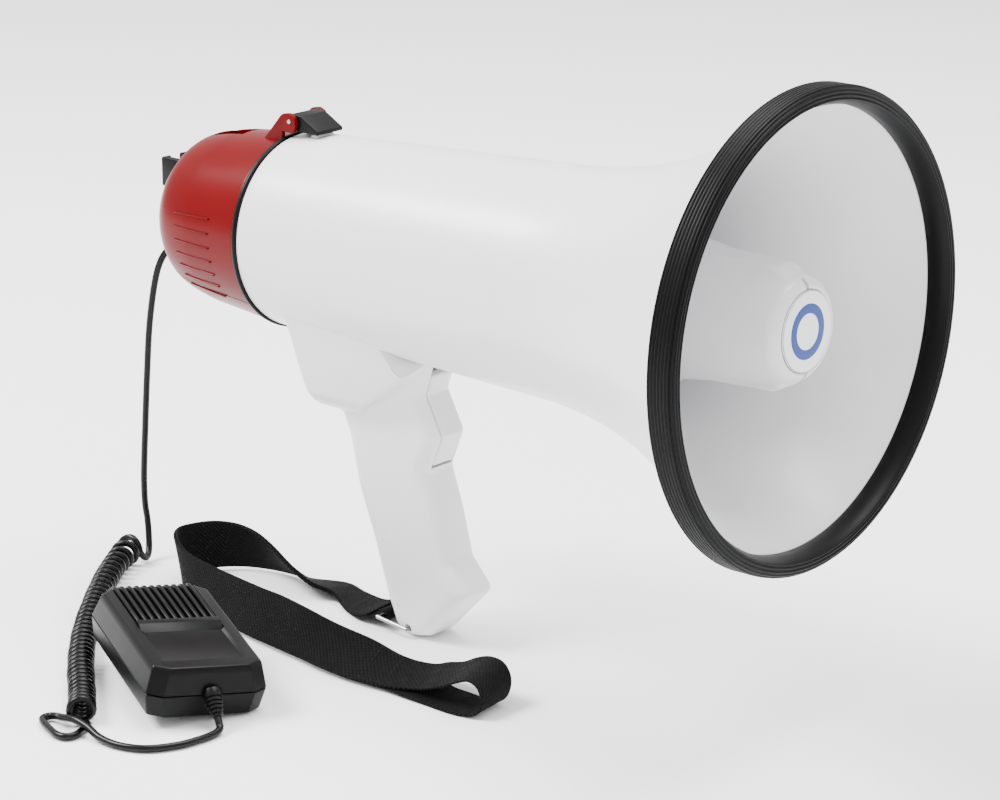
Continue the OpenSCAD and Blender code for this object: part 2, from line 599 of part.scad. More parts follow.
horn_body();
bell_rim();
reflector();
badge_disc();
throat_horn();
bulkhead();
driver_frame();
driver_magnet();
diaphragm();
battery_holder();
battery_cells();
battery_contacts();
gasket_ring();
grip_right();
grip_left();
grip_screws();
trigger();
trigger_pin();
trigger_spring();
trigger_switch();
strap_bail();
wrist_strap();
rear_cap();
control_panel();
panel_screws();
amplifier_board();
volume_pot();
volume_knob();
mode_switch();
record_button();
mic_hook();
hook_screws();
latch();
latch_pin();
cord_gland();
mic_front_shell();
mic_back_shell();
mic_grille();
mic_talk_button();
mic_capsule();
mic_board();
mic_hang_button();
mic_screws();
mic_strain_relief();
cord_lead();
cord_coil();
cord_tail();
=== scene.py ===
import json
import math

import bmesh
import bpy
import numpy as np
from mathutils import Euler, Matrix, Vector


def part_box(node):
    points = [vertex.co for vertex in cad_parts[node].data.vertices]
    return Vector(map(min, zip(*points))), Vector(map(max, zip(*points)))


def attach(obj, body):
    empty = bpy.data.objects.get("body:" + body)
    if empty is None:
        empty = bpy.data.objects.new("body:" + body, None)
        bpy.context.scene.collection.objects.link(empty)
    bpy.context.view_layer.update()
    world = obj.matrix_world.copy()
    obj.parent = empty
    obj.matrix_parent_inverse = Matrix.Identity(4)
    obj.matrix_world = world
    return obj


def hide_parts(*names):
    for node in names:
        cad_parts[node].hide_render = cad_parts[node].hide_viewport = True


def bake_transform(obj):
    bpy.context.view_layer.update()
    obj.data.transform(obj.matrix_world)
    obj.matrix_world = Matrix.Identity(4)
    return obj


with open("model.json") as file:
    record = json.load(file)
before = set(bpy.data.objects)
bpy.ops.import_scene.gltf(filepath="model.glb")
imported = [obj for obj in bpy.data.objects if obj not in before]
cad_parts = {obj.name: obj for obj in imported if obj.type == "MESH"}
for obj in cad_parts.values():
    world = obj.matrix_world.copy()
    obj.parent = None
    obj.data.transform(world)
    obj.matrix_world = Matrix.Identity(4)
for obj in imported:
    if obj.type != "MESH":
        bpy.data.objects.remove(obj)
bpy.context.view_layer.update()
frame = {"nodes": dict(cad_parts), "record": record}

# ---------------------------------------------------------------- frames
# Shapes are written in millimetres in three frames, as the design is: the horn's frame has its
# origin at the middle of the mouth, the ground's frame lies under it, and the microphone has its own.
MM = 0.001
rim_low, rim_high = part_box("bell_rim")
MOUTH = Vector((rim_high.x, (rim_low.y + rim_high.y) / 2, (rim_low.z + rim_high.z) / 2))
HORN = Matrix.Translation(MOUTH) @ Matrix.Scale(MM, 4)
GROUND = Matrix.Translation((MOUTH.x, MOUTH.y, 0)) @ Matrix.Scale(MM, 4)
MIC_TURN = Euler([math.radians(a) for a in (6, -7, 153.9)], "XYZ")
MIC = GROUND @ Matrix.Translation((-222.3, -151.6, 26.7)) @ MIC_TURN.to_matrix().to_4x4()

BELL_R = (rim_high.z - rim_low.z) / 2 / MM
BODY_LEN = 305
BODY_R = 47.5
WALL = 2.4
FINE, MEDIUM, COARSE = 192, 160, 96  # segments of a turned piece


def horn_r(x):
    """Outer radius of the white body at x."""
    flare = 49.8 * max(0, (x + 140) / 140) ** 2.18
    return BODY_R + 0.04 * (x + BODY_LEN) + flare


# ---------------------------------------------------------------- camera
CAMERA_LENS = 115.2
CAMERA_PLACE = (746.5, -1099.0, 359.3)  # from the middle of the mouth
CAMERA_YAW = 130.15
CAMERA_PITCH = 16.38


def make_camera():
    data = bpy.data.cameras.new("camera")
    data.lens = CAMERA_LENS
    data.sensor_width = 36
    data.clip_end = 20
    cam = bpy.data.objects.new("camera", data)
    bpy.context.scene.collection.objects.link(cam)
    yaw, pitch = math.radians(CAMERA_YAW), math.radians(CAMERA_PITCH)
    forward = Vector((math.cos(yaw) * math.cos(pitch), math.sin(yaw) * math.cos(pitch), -math.sin(pitch)))
    cam.location = MOUTH + Vector(CAMERA_PLACE) * MM
    cam.rotation_euler = forward.to_track_quat("-Z", "Y").to_euler()
    bpy.context.scene.camera = cam


make_camera()


# ---------------------------------------------------------------- mesh helpers
def link(name, verts, faces, place, uvs=None):
    """A mesh object from points in place's frame; its mesh is in metres, in the row frame."""
    mesh = bpy.data.meshes.new(name)
    mesh.from_pydata([place @ Vector(v) for v in verts], [], [list(f) for f in faces])
    if uvs is not None:
        layer = mesh.uv_layers.new(name="weave")
        for poly in mesh.polygons:
            for i, k in enumerate(poly.loop_indices):
                layer.data[k].uv = uvs[poly.index][i]
    mesh.update()
    obj = bpy.data.objects.new(name, mesh)
    bpy.context.scene.collection.objects.link(obj)
    return obj


def outward(obj):
    bm = bmesh.new()
    bm.from_mesh(obj.data)
    bmesh.ops.recalc_face_normals(bm, faces=bm.faces)
    bm.to_mesh(obj.data)
    bm.free()
    return obj


def settle(obj):
    """Applies the object's modifiers to its mesh."""
    graph = bpy.context.evaluated_depsgraph_get()
    mesh = bpy.data.meshes.new_from_object(obj.evaluated_get(graph))
    obj.modifiers.clear()
    old = obj.data
    obj.data = mesh
    bpy.data.meshes.remove(old)
    return obj


def combine(obj, other, operation):
    """Boolean of obj with other, which is used up."""
    outward(other)
    mod = obj.modifiers.new("boolean", "BOOLEAN")
    mod.operation = operation
    mod.object = other
    mod.solver = "EXACT"
    settle(obj)
    bpy.data.objects.remove(other)
    return obj


def soften(obj, voxel, rounds):
    """Remeshes to an even skin and smooths it, which rounds edges and fills creases."""
    mod = obj.modifiers.new("remesh", "REMESH")
    mod.mode = "VOXEL"
    mod.voxel_size = voxel * MM
    settle(obj)
    mod = obj.modifiers.new("smooth", "SMOOTH")
    mod.factor = 0.5
    mod.iterations = rounds
    return settle(obj)


def bevel(obj, width, segments=3):
    mod = obj.modifiers.new("bevel", "BEVEL")
    mod.width = width * MM
    mod.segments = segments
    mod.limit_method = "ANGLE"
    mod.angle_limit = math.radians(30)
    return settle(obj)


def shade(obj, angle=35):
    """Smooth shading with creases at sharper edges."""
    for poly in obj.data.polygons:
        poly.use_smooth = True
    bm = bmesh.new()
    bm.from_mesh(obj.data)
    for edge in bm.edges:
        sharp = len(edge.link_faces) == 2 and edge.calc_face_angle(0) > math.radians(angle)
        edge.smooth = not sharp
    bm.to_mesh(obj.data)
    bm.free()
    return obj


def fillet(points, radii, steps=6):
    """Rounds each corner of a closed outline; every corner gets steps + 1 points."""
    n = len(points)
    radii = radii if hasattr(radii, "__len__") else [radii] * n
    out = []
    for i in range(n):
        a, b, c = (Vector(points[(i + k) % n]) for k in (-1, 0, 1))
        u, v = (a - b), (c - b)
        reach = min(u.length, v.length) * 0.48
        u.normalize()
        v.normalize()
        half = max(u.angle(v), 0.02) / 2
        cut = min(radii[i] / math.tan(half), reach)
        p, q = b + u * cut, b + v * cut
        for k in range(steps + 1):
            t = k / steps
            out.append((1 - t) ** 2 * p + 2 * t * (1 - t) * b + t * t * q)
    return out


def inset(points, distance):
    """Moves each side of a closed counter-clockwise outline inwards."""
    n = len(points)
    out = []
    for i in range(n):
        a, b, c = (Vector(points[(i + k) % n]) for k in (-1, 0, 1))
        u, v = (b - a).normalized(), (c - b).normalized()
        na, nb = Vector((-u.y, u.x)), Vector((-v.y, v.x))
        m = (na + nb)
        m = m / max(m.dot(na), 0.2)
        out.append(b + m * distance)
    return out


def area_sign(points):
    return sum(p[0] * q[1] - q[0] * p[1] for p, q in zip(points, points[1:] + points[:1]))


def loft(name, rings, place):
    """Skin over closed rings that have the same number of points."""
    n = len(rings[0])
    verts = [p for ring in rings for p in ring]
    faces = [(i * n + k, i * n + (k + 1) % n, (i + 1) * n + (k + 1) % n, (i + 1) * n + k)
             for i in range(len(rings) - 1) for k in range(n)]
    faces.append(tuple(range(n))[::-1])
    faces.append(tuple((len(rings) - 1) * n + k for k in range(n)))
    return outward(link(name, verts, faces, place))


def lathe(name, profile, place, segments):
    """Turns a closed outline of (x, r) points about the x axis."""
    verts = []
    faces = []
    m = len(profile)
    for k in range(segments):
        a = 2 * math.pi * k / segments
        verts += [(x, r * math.sin(a), r * math.cos(a)) for x, r in profile]
        nxt = (k + 1) % segments
        for i in range(m):
            j = (i + 1) % m
            faces.append((k * m + i, k * m + j, nxt * m + j, nxt * m + i))
    obj = link(name, verts, faces, place)
    bm = bmesh.new()
    bm.from_mesh(obj.data)
    bmesh.ops.remove_doubles(bm, verts=bm.verts, dist=1e-7)
    bmesh.ops.recalc_face_normals(bm, faces=bm.faces)
    bm.to_mesh(obj.data)
    bm.free()
    return obj


def slab(name, outline, radii, half, edge, place):
    """A plate of a filleted outline with rounded edges, half thick each way along y."""
    steps = 5
    if area_sign(outline) < 0:
        outline = outline[::-1]
        radii = radii[::-1] if hasattr(radii, "__len__") else radii
    rings = []
    for side in (-1, 1):
        angles = [90 * k / steps for k in range(steps + 1)]
        for a in (angles if side < 0 else angles[::-1]):
            depth = edge * (1 - math.sin(math.radians(a)))
            level = side * (half - edge * (1 - math.cos(math.radians(a))))
            ring = fillet(inset(outline, depth), radii)
            rings.append([(p.x, level, p.y) for p in ring])
    return loft(name, rings, place)


def block(name, low, high, place, round_by=0.0, segments=3):
    x, y, z = zip(low, high)
    verts = [(x[i], y[j], z[k]) for i in (0, 1) for j in (0, 1) for k in (0, 1)]
    faces = [(0, 1, 3, 2), (4, 6, 7, 5), (0, 4, 5, 1), (2, 3, 7, 6), (0, 2, 6, 4), (1, 5, 7, 3)]
    obj = outward(link(name, verts, faces, place))
    return bevel(obj, round_by, segments) if round_by else obj


def spline(points, steps):
    """Catmull-Rom curve through points."""
    pts = [np.array(p, float) for p in points]
    out = []
    for i in range(len(pts) - 1):
        a, b, c, d = pts[max(i - 1, 0)], pts[i], pts[i + 1], pts[min(i + 2, len(pts) - 1)]
        for k in range(steps):
            t = k / steps
            out.append(0.5 * (2 * b + (c - a) * t + (2 * a - 5 * b + 4 * c - d) * t * t
                              + (3 * b - a - 3 * c + d) * t ** 3))
    out.append(pts[-1])
    return np.array(out)


def headings(path):
    t = np.gradient(np.array(path, float), axis=0)
    return t / np.linalg.norm(t, axis=1)[:, None]


def tube(name, path, radius, place, sides=10):
    """A round tube along path; radius is a number or one number for each point."""
    path = np.array(path, float)
    t = headings(path)
    radius = np.broadcast_to(radius, len(path))
    side = np.cross(t[0], [0.3, 0.2, 1.0])
    verts = []
    for i in range(len(path)):
        side = side - t[i] * side.dot(t[i])
        side = side / np.linalg.norm(side)
        up = np.cross(t[i], side)
        for k in range(sides):
            a = 2 * math.pi * k / sides
            verts.append(path[i] + radius[i] * (math.cos(a) * side + math.sin(a) * up))
    faces = []
    for low in range(0, (len(path) - 1) * sides, sides):
        high = low + sides
        for k in range(sides):
            j = (k + 1) % sides
            faces.append((low + k, high + k, high + j, low + j))
    faces.append(tuple(range(sides)))
    faces.append(tuple((len(path) - 1) * sides + k for k in range(sides))[::-1])
    return shade(outward(link(name, verts, faces, place)), 60)


def length_of(path):
    return float(np.linalg.norm(np.diff(np.array(path, float), axis=0), axis=1).sum())


def join(name, parts):
    """One object from several."""
    bm = bmesh.new()
    for part in parts:
        bm.from_mesh(part.data)
    mesh = bpy.data.meshes.new(name)
    bm.to_mesh(mesh)
    bm.free()
    for part in parts:
        bpy.data.objects.remove(part)
    obj = bpy.data.objects.new(name, mesh)
    bpy.context.scene.collection.objects.link(obj)
    return obj


# ---------------------------------------------------------------- materials
class Nodes:
    """A small builder for a node material with one Principled shader."""

    def __init__(self, name, color, roughness, **shader):
        self.material = bpy.data.materials.new(name)
        self.material.use_nodes = True
        self.tree = self.material.node_tree
        self.shader = self.tree.nodes["Principled BSDF"]
        self.shader.inputs["Base Color"].default_value = (*color, 1)
        self.shader.inputs["Roughness"].default_value = roughness
        for key, value in shader.items():
            self.shader.inputs[key.replace("_", " ")].default_value = value

    def add(self, kind, **values):
        node = self.tree.nodes.new(kind)
        for key, value in values.items():
            if key in node.inputs:
                node.inputs[key].default_value = value
            else:
                setattr(node, key, value)
        return node

    def wire(self, source, out, target, socket):
        self.tree.links.new(source.outputs[out], target.inputs[socket])

    def place(self):
        return self.add("ShaderNodeTexCoord")

    def noise(self, scale, detail=3.0):
        node = self.add("ShaderNodeTexNoise", Scale=scale, Detail=detail)
        self.wire(self.place(), "Object", node, "Vector")
        return node

    def tint(self, source, out, low, high, start=0.3, end=0.7):
        """Base colour that runs from low to high with the source."""
        ramp = self.add("ShaderNodeValToRGB")
        ramp.color_ramp.elements[0].position = start
        ramp.color_ramp.elements[1].position = end
        ramp.color_ramp.elements[0].color = (*low, 1)
        ramp.color_ramp.elements[1].color = (*high, 1)
        self.wire(source, out, ramp, "Fac")
        self.wire(ramp, "Color", self.shader, "Base Color")

    def rough(self, source, out, low, high):
        node = self.add("ShaderNodeMapRange")
        node.inputs["To Min"].default_value = low
        node.inputs["To Max"].default_value = high
        self.wire(source, out, node, "Value")
        self.wire(node, "Result", self.shader, "Roughness")

    def bump(self, source, out, strength, distance):
        node = self.add("ShaderNodeBump", Strength=strength, Distance=distance)
        if self.shader.inputs["Normal"].is_linked:
            previous = self.shader.inputs["Normal"].links[0].from_node
            self.wire(previous, "Normal", node, "Normal")
        self.wire(source, out, node, "Height")
        self.wire(node, "Normal", self.shader, "Normal")


def moulded(name, color, roughness, grain, depth, shift, **shader):
    """Moulded plastic: faint flow marks in the colour, a fine grain and uneven gloss."""
    m = Nodes(name, color, roughness, **shader)
    low = [c * (1 - shift) for c in color]
    high = [min(1, c * (1 + shift)) for c in color]
    m.tint(m.noise(14, 4), "Fac", low, high)
    m.rough(m.noise(60, 2), "Fac", roughness - GLOSS_SPREAD, roughness + GLOSS_SPREAD)
    m.bump(m.noise(grain, 2), "Fac", 0.35, depth)
    m.bump(m.noise(25, 2), "Fac", 0.25, 0.0002)
    return m.material


GLOSS_SPREAD = 0.06
PLASTICS = {
    "white_plastic": dict(color=(0.76, 0.76, 0.775), roughness=0.34, grain=1500, depth=0.00003,
                          shift=0.012, Coat_Weight=0.2, Coat_Roughness=0.2),
    "ivory_plastic": dict(color=(0.72, 0.72, 0.735), roughness=0.3, grain=1500, depth=0.00003,
                          shift=0.012, Coat_Weight=0.2, Coat_Roughness=0.15),
    "red_plastic": dict(color=(0.105, 0.0003, 0.0014), roughness=0.3, grain=900, depth=0.00003,
                        shift=0.08, Specular_IOR_Level=0.08, Coat_Weight=0.02, Coat_Roughness=0.12),
    "black_plastic": dict(color=(0.0024, 0.0025, 0.0028), roughness=0.4, grain=2600, depth=0.00006,
                          shift=0.2, Specular_IOR_Level=0.12),
    "mic_plastic": dict(color=(0.0016, 0.0016, 0.0018), roughness=0.36, grain=3000, depth=0.00003,
                        shift=0.15, Specular_IOR_Level=0.13),
    "grey_plastic": dict(color=(0.025, 0.025, 0.027), roughness=0.4, grain=2400, depth=0.00005,
                         shift=0.1, Specular_IOR_Level=0.3),
    "rim_rubber": dict(color=(0.0014, 0.0014, 0.0016), roughness=0.4, grain=700, depth=0.00006,
                       shift=0.25, Specular_IOR_Level=0.13),
    "cord_rubber": dict(color=(0.0012, 0.0012, 0.0014), roughness=0.28, grain=900, depth=0.00004,
                        shift=0.2, Specular_IOR_Level=0.2),
    "diaphragm_film": dict(color=(0.20, 0.10, 0.03), roughness=0.4, grain=800, depth=0.00004, shift=0.1),
    "cell_wrap": dict(color=(0.14, 0.06, 0.01), roughness=0.3, grain=500, depth=0.00003, shift=0.1),
    "strap_thread": dict(color=(0.006, 0.006, 0.0065), roughness=0.7, grain=3000, depth=0.0001,
                         shift=0.04, Specular_IOR_Level=0.2),
}


def make_materials():
    mats = {name: moulded(name, **look) for name, look in PLASTICS.items()}
    mats["steel"] = metal("steel", (0.40, 0.40, 0.42), 0.28)
    mats["ferrite"] = metal("ferrite", (0.03, 0.03, 0.035), 0.5)
    mats["circuit_board"] = board_material()
    mats["badge_plastic"] = badge_material()
    mats["strap_webbing"] = webbing_material()
    return mats


def metal(name, color, roughness):
    m = Nodes(name, color, roughness, Metallic=1.0)
    brushed = m.add("ShaderNodeMapping")
    brushed.inputs["Scale"].default_value = (1, 12, 1)
    m.wire(m.place(), "Object", brushed, "Vector")
    grain = m.add("ShaderNodeTexNoise", Scale=700, Detail=2)
    m.wire(brushed, "Vector", grain, "Vector")
    m.rough(grain, "Fac", roughness - 0.08, roughness + 0.12)
    m.bump(grain, "Fac", 0.2, 0.00002)
    m.tint(m.noise(90), "Fac", [c * 0.85 for c in color], color)
    return m.material


def board_material():
    m = Nodes("circuit_board", (0.03, 0.16, 0.06), 0.35)
    tracks = m.add("ShaderNodeTexBrick", Scale=160)
    tracks.inputs["Color1"].default_value = (0.02, 0.13, 0.05, 1)
    tracks.inputs["Color2"].default_value = (0.035, 0.19, 0.07, 1)
    tracks.inputs["Mortar"].default_value = (0.06, 0.26, 0.10, 1)
    m.wire(m.place(), "Object", tracks, "Vector")
    m.wire(tracks, "Color", m.shader, "Base Color")
    m.bump(tracks, "Fac", 0.2, 0.00004)
    return m.material


def badge_material():
    """White disc with a plain blue ring, about the horn's axis."""
    m = Nodes("badge_plastic", (0.85, 0.86, 0.88), 0.3, Specular_IOR_Level=0.3)
    shift = m.add("ShaderNodeMapping")
    shift.inputs["Location"].default_value = (0, -MOUTH.y, -MOUTH.z)
    m.wire(m.place(), "Object", shift, "Vector")
    flat = m.add("ShaderNodeVectorMath", operation="MULTIPLY")
    flat.inputs[1].default_value = (0, 1, 1)
    m.wire(shift, "Vector", flat, 0)
    radius = m.add("ShaderNodeVectorMath", operation="LENGTH")
    m.wire(flat, "Vector", radius, 0)
    ramp = m.add("ShaderNodeValToRGB")
    ramp.color_ramp.interpolation = "CONSTANT"
    scale = m.add("ShaderNodeMath", operation="MULTIPLY")
    scale.inputs[1].default_value = 1 / 0.02
    m.wire(radius, "Value", scale, 0)
    blue, white = (0.004, 0.038, 0.24, 1), (0.86, 0.87, 0.89, 1)
    ramp.color_ramp.elements[0].color = white
    ramp.color_ramp.elements[1].position = 0.40
    ramp.color_ramp.elements[1].color = blue
    ramp.color_ramp.elements.new(0.62).color = white
    ramp.color_ramp.elements.new(0.885).color = (0.25, 0.25, 0.26, 1)
    ramp.color_ramp.elements.new(0.9).color = white
    m.wire(scale, "Value", ramp, "Fac")
    m.wire(ramp, "Color", m.shader, "Base Color")
    m.bump(m.noise(900, 2), "Fac", 0.2, 0.00002)
    return m.material


def webbing_material():
    """Woven webbing: u runs across in millimetres and v along, both held in the weave UVs."""
    m = Nodes("strap_webbing", (0.003, 0.003, 0.003), 0.7, Specular_IOR_Level=0.08)
    split = m.add("ShaderNodeSeparateXYZ")
    m.wire(m.place(), "UV", split, "Vector")

    def math_node(operation, *sources):
        node = m.add("ShaderNodeMath", operation=operation)
        for i, source in enumerate(sources):
            if isinstance(source, (int, float)):
                node.inputs[i].default_value = source
            else:
                m.wire(source[0], source[1], node, i)
        return node, "Value"

    across = math_node("MULTIPLY", (split, "X"), 2 * math.pi / 1.5)
    along = math_node("MULTIPLY", (split, "Y"), 2 * math.pi / 2.2)
    warp = math_node("SINE", across)
    slanted = math_node("ADD", along, math_node("MULTIPLY", across, 0.5))
    weft = math_node("SINE", slanted)
    weave = math_node("MULTIPLY", warp, weft)
    yarn = math_node("SINE", math_node("MULTIPLY", (split, "Y"), 2 * math.pi / 0.55))
    height = math_node("ADD", weave, math_node("MULTIPLY", yarn, 0.25))
    unit = m.add("ShaderNodeMapRange")
    unit.inputs["From Min"].default_value = -1.2
    unit.inputs["From Max"].default_value = 1.2
    m.wire(height[0], height[1], unit, "Value")
    m.bump(unit, "Result", 0.9, 0.0005)
    # Painted light and shade: the colour follows the weave's height, darker in the dips between yarns as
    # painted shade and lighter on the crests as a painted highlight.
    m.tint(unit, "Result", (0.0004, 0.0004, 0.0005), (0.012, 0.012, 0.013), 0.42, 1.0)
    m.rough(m.noise(300, 3), "Fac", 0.6, 0.85)
    return m.material


MATERIALS = make_materials()


def dress(obj, material):
    obj.data.materials.clear()
    obj.data.materials.append(MATERIALS[material])
    return obj


def piece(obj, body, slot, *nodes, angle=35):
    """Shades a piece, gives it its material, and lets it ride on its body in place of CAD nodes."""
    shade(obj, angle)
    dress(obj, slot)
    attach(obj, body)
    if nodes:
        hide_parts(*nodes)
    return obj


def dress_cad_nodes():
    """Every CAD node gets its slot's procedural material."""
    for row in frame["record"]["subparts"]:
        dress(frame["nodes"][row["node"]], row["material_slot"])


dress_cad_nodes()

# ---------------------------------------------------------------- cord
CORD_R = 1.75
COIL_R = 6.5
TURNS = 38
LEAD = [(-380, 2, 169), (-390, 2, 169), (-398, 0.5, 166.5), (-403.5, -2, 160),
        (-407, -4, 148), (-410, -6, 125), (-411, -8, 98), (-412.5, -9, 70), (-414, -9.5, 45),
        (-414, -9.5, 30), (-412.5, -9.5, 20), (-410, -11.3, 11), (-406.8, -14.8, 4.8), (-404.9, -19, 3.4)]
COIL = [(-411, -21, 6.7), (-411, -25, 6.7), (-406, -36, 6.7), (-398, -49, 6.7),
        (-385, -67, 6.7), (-366, -91, 6.7), (-344, -117, 6.7), (-322, -140, 6.7), (-302, -159, 6.7),
        (-285, -174, 6.7), (-272, -186, 6.7), (-266, -192, 6.7)]
TAIL = [(-263.4, -191.4, 1.9), (-260.2, -193.6, 1.9), (-258.6, -198.5, 1.9), (-256.8, -204, 2),
        (-258.2, -208.4, 2), (-263.5, -209.3, 2), (-271, -206.8, 2), (-278.3, -203.6, 2),
        (-282.6, -200.3, 2.1), (-281.2, -197, 2.5), (-276.8, -196.6, 3.4), (-272, -198.2, 4.6),
        (-263, -198.8, 6), (-254, -199.2, 4.8), (-245, -200.4, 2.6), (-233, -200.2, 2), (-221, -195, 2),
        (-213.5, -184, 2), (-210.8, -174, 2), (-210, -166, 2), (-210.3, -161.5, 2.2), (-211.4, -158.4, 3),
        (-213.3, -157.2, 4.9), (-215.2, -156.1, 6.9), (-216.8, -155.2, 8.5)]


def coil_path():
    """The helix about the coil's centre line: it starts on the side by the horn and ends underneath."""
    line = spline(COIL, 24)
    steps = np.linalg.norm(np.diff(line, axis=0), axis=1)
    run = np.concatenate([[0], np.cumsum(steps)])
    per_turn = 18
    count = TURNS * per_turn
    radius = COIL_R - CORD_R
    first, last = -math.pi * 0.05, 2 * math.pi * TURNS + math.pi * 1.45
    points = []
    for i in range(count + 1):
        t = i / count
        s = (1.2 * t - 0.2 * t * t) * run[-1]  # the pitch falls by a third from start to end
        centre = np.array([np.interp(s, run, line[:, k]) for k in range(3)])
        ahead = np.array([np.interp(min(s + 1, run[-1]), run, line[:, k]) for k in range(3)])
        behind = np.array([np.interp(max(s - 1, 0), run, line[:, k]) for k in range(3)])
        along = (ahead - behind) / np.linalg.norm(ahead - behind)
        side = np.cross(along, [0, 0, 1])
        side = side / np.linalg.norm(side)
        up = np.cross(side, along)
        a = first + (last - first) * t
        # The first and the last turns are wider, and all are slightly uneven.
        wide = 1 + 0.28 * math.exp(-(t / 0.045) ** 2) + 0.1 * math.exp(-((1 - t) / 0.06) ** 2)
        wobble = wide + 0.05 * math.sin(7.3 * t * math.pi) * math.sin(31 * t)
        centre = centre + np.array([0, 0, radius * (wide - 1)])
        points.append(centre - radius * wobble * (math.cos(a) * side) + radius * wide * math.sin(a) * up)
    return np.array(points)


def make_cord():
    coil = coil_path()
    # Both curves run on into the coil's ends, so that they meet it without a kink.
    lead = spline(LEAD + [tuple(coil[0]), tuple(coil[3])], 8)[:-8]
    tail = spline([tuple(coil[-4]), tuple(coil[-1])] + TAIL, 8)[9:]
    path = np.vstack([lead[:-1], coil, tail])
    cord = tube("cord", path, CORD_R, GROUND, sides=12)
    dress(cord, "cord_rubber")
    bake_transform(cord)
    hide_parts("cord_lead", "cord_coil", "cord_tail")
    return cord


make_cord()

# ---------------------------------------------------------------- wrist strap
WEB_W = 25
WEB_T = 1.15
LAYER = 0.62
NEAR = [(-255, -12.5, 5), (-263, -11.5, 2.8), (-276, -6, 2), (-290, 0, 5), (-302, -4, 9), (-316, -4, 15),
        (-331, 0, 20), (-346, 3, 24), (-361, 4, 25.5), (-373, 0, 25.5), (-380, -9, 25), (-379, -20, 25.5),
        (-367, -33, 26), (-349, -43, 25), (-322, -49, 24.5), (-287, -55, 24.5), (-270, -57, 24.5),
        (-250, -60, 23.5), (-231, -58, 19), (-213, -54, 14.5), (-196, -51, 9)]
FAR = [(-257, 12.5, 5.5), (-267, 13, 3), (-284, 17.5, 1.8), (-300, 21, 2), (-318, 14, 2), (-329, 16, 2),
       (-340, 15, 2), (-350, 12, 2), (-359, 7, 2), (-366, 0, 2), (-370.5, -9, 2), (-369, -20, 2),
       (-361, -33, 2), (-344, -47, 2), (-319, -56, 2), (-288, -64, 2), (-270, -67, 2), (-250, -70, 2),
       (-231, -74, 2.5), (-211, -75.5, 2.5), (-190, -74, 2.5)]
LOOP_NEAR = [(-183, -46, 7.6), (-174, -44, 10), (-165, -44, 12.5), (-157, -44, 16.5), (-149, -44, 19),
             (-141, -44.5, 18.5), (-135.5, -46, 14), (-134.5, -47.5, 8), (-137, -49, 3), (-144, -50, 0.9),
             (-155, -50, 0.9), (-168, -50, 1.6), (-181, -49, 5.2)]
LOOP_FAR = [(-173, -69.5, 4.2), (-165, -69, 6.5), (-157, -69, 9.5), (-149, -69, 13.5), (-142, -69, 16),
            (-136, -69.5, 14.5), (-132.5, -70.5, 9.5), (-133, -71.5, 4.5), (-137.5, -73, 1.5),
            (-146, -74.5, 0.9), (-155, -74.5, 0.8), (-164, -74, 0.8), (-176, -74, 1.3)]
BAIL_BAR = (-245.87, 7.13)
HEM_R = 2.75
STITCH = ((-1.1, 0.45), (-0.6, 0.68), (0.6, 0.68), (1.1, 0.45))  # along and above the webbing


def strap_edges():
    """The webbing's two edges: out on top, round the hand loop, back below, and round the bail's bar."""
    near, far = np.array(NEAR, float), np.array(FAR, float)
    along = np.gradient((near + far) / 2, axis=0)
    out = np.cross(along, far - near)
    out = out / np.linalg.norm(out, axis=1)[:, None] * LAYER
    if out[0][2] < 0:
        out = -out
    hem = []
    for a in range(-130, 131, 26):
        x = BAIL_BAR[0] + HEM_R * math.cos(math.radians(a))
        z = BAIL_BAR[1] + HEM_R * math.sin(math.radians(a))
        hem.append((x, z))
    hem_near = [(x, -12.5, z) for x, z in hem]
    hem_far = [(x, 12.5, z) for x, z in hem]
    a = np.vstack([near + out, LOOP_NEAR, (near - out)[::-1], hem_near])
    b = np.vstack([far + out, LOOP_FAR, (far - out)[::-1], hem_far])
    return spline(a, 6), spline(b, 6)


def make_strap():
    near, far = strap_edges()
    middle = (near + far) / 2
    across = far - near
    width = np.linalg.norm(across, axis=1)[:, None]
    across = across / width
    tangent = headings(middle)
    up = np.cross(tangent, across)
    up = up / np.linalg.norm(up, axis=1)[:, None]
    run = np.concatenate([[0], np.cumsum(np.linalg.norm(np.diff(middle, axis=0), axis=1))])
    half = WEB_W / 2
    section = [(-half, 0.0), (-half + 0.25, 0.42), (-half + 0.8, 0.5)]
    section += [(u, 0.46) for u in (-8, -4, 0, 4, 8)]
    section += [(half - 0.8, 0.5), (half - 0.25, 0.42), (half, 0.0)]
    section = section + [(u, -h) for u, h in section[-2:0:-1]]
    n = len(section)
    verts, faces, uvs = [], [], []
    for i in range(len(middle)):
        for u, h in section:
            scale = width[i][0] / WEB_W
            verts.append(middle[i] + across[i] * u * scale + up[i] * h * WEB_T)
    for i in range(len(middle) - 1):
        for k in range(n):
            j = (k + 1) % n
            faces.append((i * n + k, i * n + j, (i + 1) * n + j, (i + 1) * n + k))
            uvs.append([(section[k][0], run[i]), (section[j][0], run[i]), (section[j][0], run[i + 1]),
                        (section[k][0], run[i + 1])])
    for i in (0, len(middle) - 1):
        faces.append(tuple(i * n + k for k in range(n)))
        uvs.append([(section[k][0], run[i]) for k in range(n)])
    strap = link("strap", verts, faces, GROUND, uvs)
    outward(strap)
    shade(strap, 60)
    dress(strap, "strap_webbing")
    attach(strap, "root")
    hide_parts("wrist_strap")
    stitches = make_stitches(middle, across, up, run)


